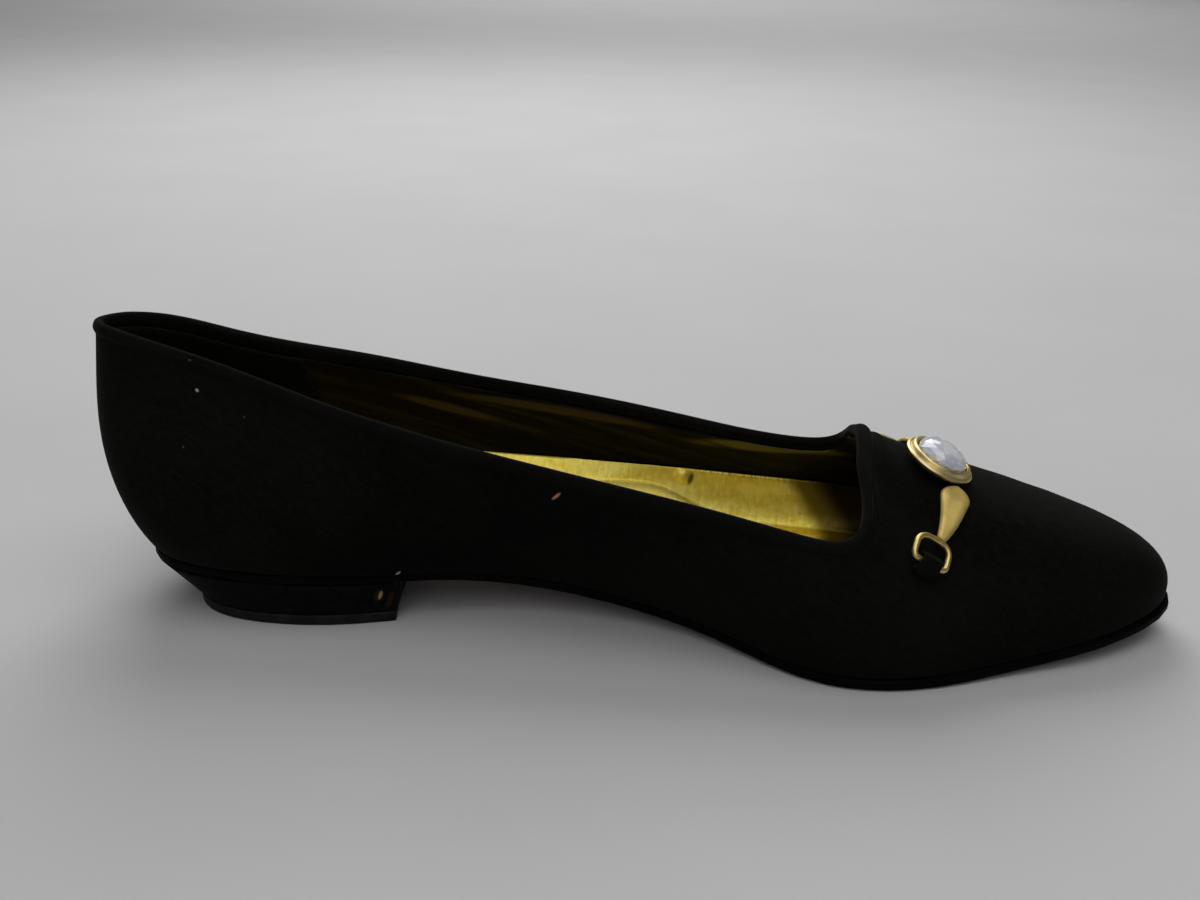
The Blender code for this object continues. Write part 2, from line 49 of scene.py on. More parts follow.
# %% [markdown]
# ## The camera
# The photograph looks at the inner side of the shoe from a little above, close up. A camera can be placed by
# eye, but three angles and a distance are easier to correct: it looks at a target from an azimuth and an
# elevation, and is then rolled a little. Its axes are the columns of its matrix.

# %% Place the camera
TARGET = Vector((-11.3, 43.6, 19.5)) * MM
AZIMUTH = math.radians(3.35)
ELEVATION = math.radians(23.36)
ROLL = math.radians(1.1)
DISTANCE = 350.4 * MM
LENS = 38.47
NEAREST = 0.01

reach = math.cos(ELEVATION)
back = Vector((math.sin(AZIMUTH) * reach, -math.cos(AZIMUTH) * reach, math.sin(ELEVATION)))
level = Vector((math.cos(AZIMUTH), math.sin(AZIMUTH), 0.0))
upright = back.cross(level)
right = level * math.cos(ROLL) + upright * math.sin(ROLL)
up = upright * math.cos(ROLL) - level * math.sin(ROLL)
axes = Matrix((right, up, back)).transposed().to_4x4()
camera = bpy.data.objects.new("camera", bpy.data.cameras.new("camera"))
bpy.context.scene.collection.objects.link(camera)
camera.data.sensor_fit = "HORIZONTAL"
camera.data.lens = LENS
camera.data.clip_start = NEAREST
camera.matrix_world = Matrix.Translation(TARGET + back * DISTANCE) @ axes
bpy.context.scene.camera = camera
print("camera at", tuple(camera.location))

# %% [markdown]
# ## Light
# The photograph was taken in soft, even light. Black suede shows its nap only where broad lights graze it, so
# large area lights stand behind and above the shoe, a weaker one fills the near side, and a pale sky keeps
# the shadows open. The last one only keeps the far end of the cloth pale. Small lamps would give hard spots.

# %% Set the lights
SKY = (0.80, 0.82, 0.86)
SKY_STRENGTH = 0.13
LAMP_WHITE = (1.0, 0.99, 0.97)
SHOE = (0.0, 0.0, 0.0)
FAR_CLOTH = (0.0, 2.2, 0.0)
# Name, place, aim, size and power
LIGHTS = (
    ("window", (-0.15, 0.72, 0.82), SHOE, 0.8, 6.4),
    ("overhead", (0.15, -0.15, 1.10), SHOE, 0.8, 3.2),
    ("fill", (-0.10, -0.80, 0.85), SHOE, 0.8, 2.5),
    ("far", (0.0, 2.1, 1.1), FAR_CLOTH, 1.6, 15.0),
)


def add_light(name, place, aim, size, power):
    bpy.ops.object.light_add(type="AREA", location=place)
    lamp = bpy.context.object
    lamp.name = name
    lamp.data.size = size
    lamp.data.energy = power
    lamp.data.color = LAMP_WHITE
    lamp.rotation_euler = (Vector(aim) - Vector(place)).to_track_quat("-Z", "Y").to_euler()


for row in LIGHTS:
    add_light(*row)
world = bpy.data.worlds.new("sky")
world.use_nodes = True
background = world.node_tree.nodes["Background"]
background.inputs["Color"].default_value = (*SKY, 1.0)
background.inputs["Strength"].default_value = SKY_STRENGTH
bpy.context.scene.world = world
bpy.context.scene.view_settings.view_transform = "Standard"
print("lights:", [row[0] for row in LIGHTS])

# %% [markdown]
# ## Writing finishes as sums
# A finish in Blender is a web of nodes. Wiring them one by one is slow to read, so one small class stands for
# an output in that web. Plus, minus and times on it add Math nodes, and its node method adds any other node.

# %% An output of a node
EVEN = (1.0, 1.0, 1.0)
LEVEL = (0.0, 0.0, 0.0)


def falling(degrees):
    """A turn that lets a pattern fall towards the toe."""
    return (0.0, math.radians(degrees), 0.0)


class Value:
    """An output of a node in one finish."""

    def __init__(self, tree, socket=None):
        self.tree = tree
        self.socket = socket

    def node(self, kind, settings=(), inputs=(), output=0):
        """Adds a node: its settings first, then the numbers or links of its sockets."""
        made = self.tree.nodes.new(kind)
        for key, setting in dict(settings).items():
            setattr(made, key, setting)
        for key, given in dict(inputs).items():
            if isinstance(given, Value):
                self.tree.links.new(given.socket, made.inputs[key])
            else:
                made.inputs[key].default_value = given
        return Value(self.tree, made.outputs[output])

    def math(self, operation, *values):
        return self.node("ShaderNodeMath", {"operation": operation}, enumerate(values))

    def __add__(self, other):
        return self.math("ADD", self, other)

    def __sub__(self, other):
        return self.math("SUBTRACT", self, other)

    def __mul__(self, other):
        return self.math("MULTIPLY", self, other)

    def __rsub__(self, other):
        return self.math("SUBTRACT", other, self)

    __radd__ = __add__
    __rmul__ = __mul__

    def between(self, low, high):
        """0 at low and 1 at high, with a smooth step between them."""
        limits = {0: self, 1: low, 2: high}
        return self.node("ShaderNodeMapRange", {"interpolation_type": "SMOOTHSTEP"}, limits)

    def mixed(self, low, high):
        """The colour low where this value is 0, and high where it is 1."""
        return self.node("ShaderNodeMix", {"data_type": "RGBA"}, {0: self, 6: low, 7: high}, 2)

    def grain(self, size, detail, stretch=EVEN, turn=LEVEL):
        """Soft noise over this place, with spots of a size in metres, drawn out along stretch."""
        inputs = {"Vector": self, "Rotation": turn, "Scale": [size * share for share in stretch]}
        laid = self.node("ShaderNodeMapping", {"vector_type": "TEXTURE"}, inputs)
        return self.node("ShaderNodeTexNoise", {}, {"Vector": laid, "Scale": 1.0, "Detail": detail})

    def spot(self, centre, radii, turn):
        """1 in a small ellipsoid on the piece, falling to 0 at its edge. Lengths are in millimetres."""
        inputs = {"Vector": self, "Rotation": turn}
        inputs["Location"] = [length * MM for length in centre]
        inputs["Scale"] = [radius * MM for radius in radii]
        laid = self.node("ShaderNodeMapping", {"vector_type": "TEXTURE"}, inputs)
        away = self.node("ShaderNodeVectorMath", {"operation": "LENGTH"}, {0: laid}, "Value")
        return away.between(1.0, 0.5)

    def axis(self, letter):
        return self.node("ShaderNodeSeparateXYZ", {}, {0: self}, letter)


print("sums of outputs add Math nodes")

# %% [markdown]
# A finish holds the shader. What is the same all over the surface is a number on the shader's own socket, and
# what changes is fed to it. Patterns are drawn by the place on the piece, in the piece's own coordinates, so
# that they stay on it wherever the shoe is put.


# %% A finish with its shader
class Finish:
    """A finish with its shader, and the place on the piece that its patterns are drawn by."""

    def __init__(self, name, **constants):
        self.made = bpy.data.materials.new(name)
        self.made.use_nodes = True
        self.shader = self.made.node_tree.nodes["Principled BSDF"]
        for key, constant in constants.items():
            self.shader.inputs[key.replace("_", " ")].default_value = constant
        self.place = Value(self.made.node_tree).node("ShaderNodeTexCoord", output="Object")

    def upwards(self):
        """1 where the surface looks up, 0 where it stands upright and -1 where it looks down."""
        return self.place.node("ShaderNodeNewGeometry", output="Normal").axis("Z")

    def feed(self, socket, value):
        self.made.node_tree.links.new(value.socket, self.shader.inputs[socket])

    def bump(self, height, depth, strength):
        inputs = {"Height": height, "Distance": depth, "Strength": strength}
        self.feed("Normal", height.node("ShaderNodeBump", {}, inputs))


print("finishes are ready to be written as sums")

# %% [markdown]
# ## The floor
# The shoe stands on a plain pale cloth. A flat plane would do, but a faint mottling keeps it from looking
# like a screen.

# %% Lay the floor
FLOOR_SIZE = 6.0
FLOOR_PALE = (0.58, 0.58, 0.585, 1.0)
FLOOR_GREY = (0.53, 0.53, 0.545, 1.0)
FLOOR_MOTTLE = 0.08

bpy.ops.object.select_all(action="DESELECT")
bpy.ops.mesh.primitive_plane_add(size=FLOOR_SIZE)
floor = bpy.context.object
floor.name = "floor"
cloth = Finish("pale cloth", Roughness=1.0, Specular_IOR_Level=0.0)
cloth.feed("Base Color", cloth.place.grain(FLOOR_MOTTLE, 4.0).mixed(FLOOR_GREY, FLOOR_PALE))
floor.data.materials.append(cloth.made)
print("floor", FLOOR_SIZE, "m wide")

# %% [markdown]
# ## Working on copies
# The part's own objects are never touched. A piece that has the right shape is copied, its loose triangles
# are merged and turned back into four-sided faces, and subdivision then rounds it off, as the real leather
# and metal are round between the places that the part was measured at.

# %% Helpers for copies
MERGE_DISTANCE = 0.01 * MM
QUAD_ANGLE = math.radians(50)
SMOOTH = 2
FINE = 3


def only(piece):
    """Selects one piece and nothing else."""
    bpy.ops.object.select_all(action="DESELECT")
    piece.select_set(True)
    bpy.context.view_layer.objects.active = piece


def copy_of(node, name):
    """A merged copy of a node of the part, in four-sided faces where it can be."""
    piece = bpy.data.objects.new(name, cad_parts[node].data.copy())
    piece.data.materials.clear()
    bpy.context.scene.collection.objects.link(piece)
    only(piece)
    bpy.ops.mesh.customdata_custom_splitnormals_clear()
    bpy.ops.object.mode_set(mode="EDIT")
    bpy.ops.mesh.select_all(action="SELECT")
    bpy.ops.mesh.remove_doubles(threshold=MERGE_DISTANCE)
    bpy.ops.mesh.tris_convert_to_quads(face_threshold=QUAD_ANGLE, shape_threshold=QUAD_ANGLE)
    bpy.ops.object.mode_set(mode="OBJECT")
    bpy.ops.object.shade_smooth()
    return piece


def refine(piece, kind, **settings):
    """Adds a modifier with its settings and applies it."""
    only(piece)
    modifier = piece.modifiers.new(kind.lower(), kind)
    for key, setting in settings.items():
        setattr(modifier, key, setting)
    bpy.ops.object.modifier_apply(modifier=modifier.name)


def rounded(piece, levels=SMOOTH):
    refine(piece, "SUBSURF", levels=levels, render_levels=levels)


def keep_edges(piece, angle, crease):
    """Holds the edges that turn by more than an angle, so that rounding leaves them crisp."""
    only(piece)
    bpy.ops.object.mode_set(mode="EDIT")
    bpy.ops.mesh.select_all(action="DESELECT")
    bpy.ops.mesh.edges_select_sharp(sharpness=angle)
    bpy.ops.transform.edge_crease(value=crease)
    bpy.ops.object.mode_set(mode="OBJECT")


print("copies are rounded", SMOOTH, "or", FINE, "times")

# %% [markdown]
# A finished piece is put on the shoe: it gets its finish and moves with the shoe. Where it takes the place of
# one of the part's own pieces, that one is hidden.


# %% Helper for finished pieces
def wear(piece, finish, slot, *nodes):
    """Gives a piece its finish, sets it on the shoe, and hides the nodes that it stands for."""
    piece.data.materials.append(finish.made)
    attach(piece, "root")
    if nodes:
        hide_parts(*nodes)
    print(piece.name, "has", len(piece.data.polygons), "faces")


# %% [markdown]
# ## Black suede
# Suede is the flesh side of leather, sanded to a nap. It is almost black, has no gloss, and looks lighter
# where the nap has been brushed one way or worn. Broad strokes, fine streaks and single fibres are three
# noises of three sizes. A little lint clings to it, at the places where the photograph shows it.

# %% Write the suede
SUEDE_DARK = (0.0020, 0.0020, 0.0016, 1.0)
SUEDE_LIGHT = (0.0070, 0.0069, 0.0057, 1.0)
SUEDE_TINT = (0.75, 0.75, 0.72, 1.0)
STROKE_SIZE = 45 * MM
STREAK_SIZE = 1.1 * MM
STREAK_STRETCH = (2.5, 1.0, 1.0)
STREAK_TURN = (0.0, 0.5, 0.0)
FIBRE_SIZE = 0.3 * MM
NAP_DEPTH = 0.12 * MM
RIM_DISTANCE = "from_rim"
SEAM_AT = 3.1 * MM
SEAM_WIDTH = 0.35 * MM
# How much paler a painted sheen makes the binding along the topline
BINDING_SHEEN = 0.35
LINT_WHITE = (0.30, 0.30, 0.29, 1.0)
LINT_GREY = (0.06, 0.06, 0.058, 1.0)
LINT_PINK = (0.42, 0.20, 0.13, 1.0)
UPHILL = falling(-45)
# Centre and radii in millimetres, turn and colour
LINT = (
    ((-99.6, -14.5, 62.2), (0.45, 0.6, 0.35), LEVEL, LINT_GREY),
    ((-98.2, -15.9, 55.6), (0.45, 0.6, 0.60), UPHILL, LINT_WHITE),
    ((-100.9, -20.7, 43.7), (0.25, 0.6, 0.40), LEVEL, LINT_GREY),
    ((-87.3, -17.9, 50.4), (0.30, 0.6, 0.25), UPHILL, LINT_GREY),
    ((-53.6, -21.0, 14.4), (1.10, 0.8, 0.40), UPHILL, LINT_WHITE),
    ((-16.6, -26.3, 38.3), (1.70, 0.9, 0.45), UPHILL, LINT_PINK),
)


def suede_finish(name, bound=False, lint=()):
    """Napped suede. Where it is bound, a seam is pressed in below the topline and a painted sheen lies above
    it.
    """
    nap = {"Sheen_Weight": 0.03, "Sheen_Roughness": 0.4, "Sheen_Tint": SUEDE_TINT}
    suede = Finish(name, Specular_IOR_Level=0.03, **nap)
    strokes = suede.place.grain(STROKE_SIZE, 2.0)
    streaks = suede.place.grain(STREAK_SIZE, 3.0, STREAK_STRETCH, STREAK_TURN)
    fibres = suede.place.grain(FIBRE_SIZE, 2.0)
    tone = 0.4 * strokes + 0.25 * streaks + 0.35 * fibres
    colour = tone.between(0.36, 0.66).mixed(SUEDE_DARK, SUEDE_LIGHT)
    for centre, radii, turn, shade in lint:
        colour = suede.place.spot(centre, radii, turn).mixed(colour, shade)
    relief = 0.6 * fibres + 0.4 * streaks
    if bound:
        from_rim = suede.place.node("ShaderNodeAttribute", {"attribute_name": RIM_DISTANCE}, {}, "Fac")
        folded = from_rim.between(SEAM_AT + SEAM_WIDTH, SEAM_AT - SEAM_WIDTH)
        relief = relief + folded
        # The binding above the seam is painted paler, as a painted sheen along the topline
        colour = (BINDING_SHEEN * folded).mixed(colour, SUEDE_LIGHT)
    suede.feed("Base Color", colour)
    suede.feed("Roughness", 0.88 + 0.12 * fibres)
    suede.bump(relief, NAP_DEPTH, 0.8)
    return suede


upper_suede = suede_finish("black suede", True, LINT)
trim_suede = suede_finish("black suede trim")
print("suede with", len(LINT), "specks of lint")

# %% [markdown]
# ## The topline
# A narrow binding is folded over the edge of the opening, and the seam that holds it runs a few millimetres
# below the edge. To draw it, each point of the upper must know how far it is from the topline. The topline is
# a loop of edges, so one edge of it is enough for Blender to select the rest.

# %% Find the topline
RIM_SHARES = (0.0, 0.25, 0.5, 0.75)


def tree_of(places):
    """A tree that finds the nearest of many places."""
    tree = kdtree.KDTree(len(places))
    for number, place in enumerate(places):
        tree.insert(place, number)
    tree.balance()
    return tree


def ends_of(piece, edge):
    return [piece.data.vertices[number].co for number in edge.vertices]


def length_of(piece, edge):
    start, end = ends_of(piece, edge)
    return (start - end).length


def rim_points(piece):
    """Points along the loop of edges that runs round the opening through the highest point of the wall."""
    only(piece)
    top = max(piece.data.vertices, key=lambda point: point.co.z).index
    at_top = [edge for edge in piece.data.edges if top in edge.vertices]
    first = max(at_top, key=lambda edge: length_of(piece, edge)).index
    bpy.ops.object.mode_set(mode="EDIT")
    bpy.ops.mesh.select_mode(type="EDGE")
    bpy.ops.mesh.select_all(action="DESELECT")
    bpy.ops.object.mode_set(mode="OBJECT")
    piece.data.edges[first].select = True
    bpy.ops.object.mode_set(mode="EDIT")
    bpy.ops.mesh.loop_multi_select(ring=False)
    bpy.ops.object.mode_set(mode="OBJECT")
    places = []
    for edge in piece.data.edges:
        if edge.select:
            start, end = ends_of(piece, edge)
            places += [start.lerp(end, share) for share in RIM_SHARES]
    return places


upper = copy_of("upper", "upper_shell")
topline = rim_points(upper)
rim_tree = tree_of(topline)
print("the topline has", len(topline), "points and reaches", max(topline, key=lambda place: place.x))

# %% [markdown]
# ## The upper
# The upper is cut from suede and pulled over the last, so only its lower edge, where it is folded under, is
# sharp. Its copy is rounded twice with that edge held, raised by the thickness of the binding, and pressed in
# and out by less than half a millimetre, because empty leather never stays as true as the last. Each point
# keeps its distance from the topline, which the suede's seam reads.

# %% Shape the upper
UPPER_EDGE = (math.radians(60), 0.9)
WAVE_LENGTH = 38 * MM
WAVE_DEPTH = 0.35 * MM
BINDING_RISE = 0.22 * MM


def step(share):
    """A smooth step from 0 to 1."""
    share = min(max(share, 0.0), 1.0)
    return share * share * (3.0 - 2.0 * share)


def press(piece, depth_of, share_of=lambda normal: 1.0):
    """Moves each point along its normal, by a depth for its place times a share for its normal."""
    moves = [point.normal * depth_of(point.co) * share_of(point.normal) for point in piece.data.vertices]
    for point, move in zip(piece.data.vertices, moves):
        point.co += move
    piece.data.update()


def leather_waves(place):
    return WAVE_DEPTH * noise.noise(place / WAVE_LENGTH)


def upper_relief(place):
    """Slow waves, and the binding that is folded over the topline."""
    above_seam = SEAM_AT + SEAM_WIDTH - rim_tree.find(place)[2]
    return leather_waves(place) + BINDING_RISE * step(above_seam / (2.0 * SEAM_WIDTH))


keep_edges(upper, *UPPER_EDGE)
rounded(upper)
press(upper, upper_relief)
from_rim = upper.data.attributes.new(RIM_DISTANCE, "FLOAT", "POINT")
from_rim.data.foreach_set("value", [rim_tree.find(point.co)[2] for point in upper.data.vertices])
wear(upper, upper_suede, "suede", "upper")

# %% [markdown]
# ## The lining
# The inside is lined with thin metallic leather, a dull olive gold whose dark colour is partly its own and
# partly painted shade. It starts below the binding and lies loose on the wall. The part's upper is one wall, so
# the faces that look at the hollow are found by their direction, and a copy of them becomes the lining.

# %% Find the faces that look at the hollow
HOLLOW_BACK = -95 * MM
HOLLOW_FRONT = 85 * MM
HOLLOW_HEIGHT = 28 * MM
HOLLOW_FALL = 0.12
BINDING_DEPTH = 2.3 * MM


def looks_inside(middle, normal):
    along = min(max(middle.x, HOLLOW_BACK), HOLLOW_FRONT)
    hollow = Vector((along, 0.0, HOLLOW_HEIGHT - HOLLOW_FALL * along))
    return normal.dot(hollow - middle) > 0.0


def below_binding(middle, normal):
    return looks_inside(middle, normal) and rim_tree.find(middle)[2] > BINDING_DEPTH


def keep_faces(piece, wanted):
    """Deletes the faces whose middle and normal aren't wanted."""
    only(piece)
    bpy.ops.object.mode_set(mode="EDIT")
    bpy.ops.mesh.select_mode(type="FACE")
    bpy.ops.mesh.select_all(action="DESELECT")
    bpy.ops.object.mode_set(mode="OBJECT")
    for face in piece.data.polygons:
        face.select = wanted(face.center, face.normal)
    bpy.ops.object.mode_set(mode="EDIT")
    bpy.ops.mesh.select_all(action="INVERT")
    bpy.ops.mesh.delete(type="FACE")
    bpy.ops.object.mode_set(mode="OBJECT")


wall = copy_of("upper", "lining")
keep_faces(wall, below_binding)
print(len(wall.data.polygons), "faces look at the hollow")

# %% [markdown]
# Three sheets lie on that wall: the lining, a suede grip at the heel, and the side of the gold sock low down.
# Each is a copy that is cut along straight lines, as with a knife. The lining reaches under the grip, so that
# no gap shows.

# %% Cut the lining, the sock's side and the heel grip out of the wall
SOCK_LINE = Vector((-41.0, 0.0, 26.0)) * MM
SOCK_SLOPE = Vector((0.082, 0.0, 1.0))
SOCK_BACK_SLOPE = Vector((-0.1, 0.0, 1.0))
GRIP_EDGE = Vector((-82.0, 0.0, 48.0)) * MM
GRIP_SLOPE = Vector((1.0, 0.0, 0.17))
LAP = Vector((4.0, 0.0, 4.0)) * MM


def twin(piece, name):
    other = piece.copy()
    other.data = piece.data.copy()
    other.name = name
    bpy.context.scene.collection.objects.link(other)
    return other


def cut(piece, place, normal):
    """Cuts the piece along a plane and throws away what lies on the side that the normal points to."""
    only(piece)
    bpy.ops.object.mode_set(mode="EDIT")
    bpy.ops.mesh.select_all(action="SELECT")
    bpy.ops.mesh.bisect(plane_co=place, plane_no=normal, clear_outer=True)
    bpy.ops.object.mode_set(mode="OBJECT")


sock_side = twin(wall, "sock_side")
cut(sock_side, SOCK_LINE, SOCK_SLOPE)
cut(sock_side, SOCK_LINE, SOCK_BACK_SLOPE)
grip = twin(wall, "heel_grip")
cut(grip, GRIP_EDGE, GRIP_SLOPE)
cut(wall, GRIP_EDGE - LAP, -GRIP_SLOPE)
print("lining, sock side and grip have", [len(p.data.polygons) for p in (wall, sock_side, grip)], "faces")

# %% [markdown]
# The lining's creases run along the shoe and fall towards the toe, as the topline does. The two main ridges
# on the outer wall are given at their place and slope. Noise that is drawn out along the slope gives
# the small ones. The grip is smooth, and lies on the lining.

# %% Crease the lining and lift the grip
CREASE_SLOPE = 0.32
CREASE_DEPTH = 0.4 * MM
CREASE_WIDTH = 5.5 * MM
CREASE_LENGTH = 55 * MM
# Centre and radii in millimetres, and turn
RIDGES = (
    ((-22.0, 23.5, 38.9), (34.0, 8.0, 1.5), falling(9)),
    ((-49.0, 22.3, 38.9), (17.0, 8.0, 1.5), falling(16)),
)
RIDGE_RISE = 0.6 * MM
LINING_LIFT = 0.1 * MM
LINING_THICKNESS = 0.3 * MM
LAP_LIFT = 0.8 * MM
GRIP_THICKNESS = 0.7 * MM
OUTWARDS = 1.0


def thicken(piece, thickness):
    """Gives a sheet its thickness, on the side that its faces look to."""
    refine(piece, "SOLIDIFY", thickness=thickness, offset=OUTWARDS)


def in_spot(place, centre, radii, turn):
    """How much of a finish's spot there is at a place."""
    laid = Euler(turn).to_matrix().transposed() @ (place - Vector(centre) * MM)
    away = Vector([length / (radius * MM) for length, radius in zip(laid, radii)]).length
    return step(2.0 * (1.0 - away))


def lining_creases(place):
    across = (place.z + CREASE_SLOPE * place.x) / CREASE_WIDTH
    fold = noise.noise(Vector((place.x / CREASE_LENGTH, across, place.y / CREASE_LENGTH)))
    ridges = RIDGE_RISE * max(in_spot(place, *ridge) for ridge in RIDGES)
    return leather_waves(place) + LINING_LIFT + CREASE_DEPTH * (1.0 - abs(fold)) + ridges


def grip_lift(place):
    return leather_waves(place) + LAP_LIFT


rounded(wall, FINE)
press(wall, lining_creases)
thicken(wall, LINING_THICKNESS)
rounded(grip)
press(grip, grip_lift)
thicken(grip, GRIP_THICKNESS)
print("lining and grip are shaped")

# %% [markdown]
# The lining's gold is olive, painted dark as its shade on the wall, and rusty towards the heel. Painted light
# makes it lighter on its folds and ridges, and a painted highlight lies on a strip in front, where the lining
# curves near the throat. The folds in the finish follow the slope of those in the shape.

# %% Finish the lining and the grip
# The lining's olive gold is painted dark: partly its own colour and partly painted shade on the wall.
OLIVE_DARK = (0.0012, 0.0010, 0.0002, 1.0)
OLIVE_LIGHT = (0.015, 0.0125, 0.0020, 1.0)
RUSTY_DARK = (0.0045, 0.0024, 0.0004, 1.0)
RUST_FROM = -25 * MM
RUST_TO = -70 * MM
# A painted highlight on the folds of a strip in front, where the lining curves near the throat
THROAT_HIGHLIGHT_GOLD = (0.12, 0.10, 0.028, 1.0)
# Centre and radii in millimetres, and turn
THROAT_HIGHLIGHT_SPOT = ((34.0, 25.0, 30.1), (25.0, 14.0, 2.1), falling(2))
# Painted highlight on the two main ridges of the lining
RIDGE_HIGHLIGHT_GOLD = (0.058, 0.042, 0.010, 1.0)
RIDGE_HIGHLIGHT_SHARE = 0.7
FOLDS_SIZE = 2.6 * MM
FOLDS_STRETCH = (16.0, 6.0, 1.0)
FOLDS_TURN = (0.0, math.atan(CREASE_SLOPE), 0.0)
LINING_PORES = 0.5 * MM
LINING_DEPTH = 0.25 * MM


def lining_finish():
    gold = Finish("olive gold lining", Metallic=0.4, Specular_IOR_Level=0.1)
    folds = gold.place.grain(FOLDS_SIZE, 3.0, FOLDS_STRETCH, FOLDS_TURN)
    pores = gold.place.grain(LINING_PORES, 2.0)
    dark = gold.place.axis("X").between(RUST_FROM, RUST_TO).mixed(OLIVE_DARK, RUSTY_DARK)
    # Painted light and shade along the folds: lighter on them, darker between them.
    colour = folds.between(0.45, 0.72).mixed(dark, OLIVE_LIGHT)
    # Painted highlight on the folds of the strip near the throat
    throat_highlight = gold.place.spot(*THROAT_HIGHLIGHT_SPOT) * folds.between(0.25, 0.5)
    colour = throat_highlight.mixed(colour, THROAT_HIGHLIGHT_GOLD)
    # Each main ridge gets a painted highlight
    for ridge in RIDGES:
        colour = (RIDGE_HIGHLIGHT_SHARE * gold.place.spot(*ridge)).mixed(colour, RIDGE_HIGHLIGHT_GOLD)
    gold.feed("Base Color", colour)
    gold.feed("Roughness", 0.42 + 0.2 * pores)
    gold.bump(0.7 * folds + 0.3 * pores, LINING_DEPTH, 0.7)
    return gold


wear(wall, lining_finish(), "gold_sock")
wear(grip, trim_suede, "suede")

# %% [markdown]
# ## The gold sock
# The sock is the bright sheet that the foot stands on. It covers the insole board and rides a little way up
# the walls, and a shorter padded sock lies on its back half: its round front is a low step, with a painted
# shadow along it. A small fold stands up at the outer side.

# %% Shape the sock
RAMP = 0.7
RAMP_DEPTH = 8 * MM
PAD_TOP = Vector((0.06, 0.0, 1.0))
PAD_TOP_AT = 18.5 * MM
PAD_FRONT = Vector((0.6, 0.0, 1.0))
PAD_FRONT_AT = 23.8 * MM
PAD_BOW = 3.0
PAD_ROUNDING = 6 * MM
PAD_STEP = 1.2 * MM
PAD_RISE = 0.7 * MM
FOLD_PLACE = Vector((11.3, 29.8, 19.3)) * MM
FOLD_RADIUS = 2.4 * MM
FOLD_RISE = 1.0 * MM
RIPPLE_LENGTH = 9 * MM
RIPPLE_DEPTH = 0.1 * MM
SIDE_THICKNESS = 0.6 * MM
BOARD_EDGE = (math.radians(40), 0.8)


def sock_ramp(place):
    """How far the sock leaves the wall as it comes down to the board."""
    down = SOCK_SLOPE.dot(SOCK_LINE - place)
    return leather_waves(place) + LAP_LIFT + min(RAMP * max(down, 0.0), RAMP_DEPTH)


def smooth_min(first, second, reach):
    """The smaller of two lengths, with the corner where they are equal rounded off."""
    near = max(reach - abs(first - second), 0.0) / reach
    return min(first, second) - reach * near ** 3 / 6.0


def sock_relief(place):
    """The pad's step, the small fold and the ripples."""
    front = PAD_FRONT_AT - place.dot(PAD_FRONT) - PAD_BOW * place.y * place.y
    inside = smooth_min(PAD_TOP_AT - place.dot(PAD_TOP), front, PAD_ROUNDING)
    fold = 1.0 - (place - FOLD_PLACE).length / FOLD_RADIUS
    ripple = RIPPLE_DEPTH * noise.noise(place / RIPPLE_LENGTH)
    return PAD_RISE * step(inside / PAD_STEP) + FOLD_RISE * step(fold) + ripple


def looking_up(normal):
    """Keeps the board's underside as it is."""
    return max(normal.z, 0.0)


rounded(sock_side, FINE)
press(sock_side, sock_ramp)
press(sock_side, sock_relief)
thicken(sock_side, SIDE_THICKNESS)
sock = copy_of("insole", "sock")
keep_edges(sock, *BOARD_EDGE)
rounded(sock, FINE)
press(sock, sock_relief, looking_up)
print("the sock and its side are shaped")

# %% [markdown]
# The sock's gold is smeared and crinkled. A brown painted shadow follows the pad's step, painted shade marks a
# row of fine pleats along the upper edge in front, and a painted shadow lies beside the small fold. Towards the
# toe, under the vamp, painted shade turns the gold brown and then dark. The board under it shows only at its
# edge and underneath.

# %% Finish the sock
GOLD_DEEP = (0.80, 0.60, 0.06, 1.0)
GOLD_BRIGHT = (1.0, 0.86, 0.20, 1.0)
# Painted shade colours follow: a brown for gold in shade, a dark for pleats and creases, and a dark that is the
# board's own colour and also painted shade.
GOLD_IN_SHADE = (0.13, 0.085, 0.006, 1.0)
CREASE_SHADE_DARK = (0.05, 0.035, 0.006, 1.0)
BOARD_AND_SHADE_DARK = (0.016, 0.011, 0.003, 1.0)
SOCK_GRAIN = 0.35 * MM
SMEAR_SIZE = 3.5 * MM
SMEAR_STRETCH = (5.0, 1.5, 1.0)
CRINKLE_SIZE = 1.1 * MM
CRINKLE_STRETCH = (1.0, 2.0, 2.0)
SOCK_DEPTH = 0.3 * MM
LINE_FROM = -0.2 * MM
LINE_DARKEST = 0.3 * MM
LINE_TO = 1.6 * MM
PLEAT_SIZE = 0.35 * MM
PLEAT_STRETCH = (1.0, 8.0, 8.0)
PLEAT_TOP = 0.3 * MM
PLEAT_FOOT = 1.6 * MM
PLEATS_FROM = 10 * MM
PLEATS_TO = 18 * MM
# A painted shadow in the crease beside the small fold
# Centre and radii in millimetres, and turn
FOLD_SHADOW = ((13.4, 30.0, 18.6), (1.1, 3.0, 2.6), falling(18))
# Painted shade under the vamp: towards the toe the gold turns brown and then dark, sooner where it is higher
SHADE_BROWN_FROM = 39 * MM
SHADE_BROWN_TO = 45 * MM
SHADE_TO = 53 * MM
SHADE_SLANT = 0.7
SHADE_HEIGHT = 14 * MM


def pad_step_shadow(place):
    """A thin painted shadow along the step of the pad."""
    x, y, z = (place.axis(letter) for letter in "XYZ")
    from_top = PAD_TOP_AT - (z + PAD_TOP.x * x)
    from_front = PAD_FRONT_AT - (z + PAD_FRONT.x * x) - PAD_BOW * y * y
    inside = place.math("SMOOTH_MIN", from_top, from_front, PAD_ROUNDING)
    return inside.between(LINE_FROM, LINE_DARKEST) - inside.between(LINE_DARKEST, LINE_TO)


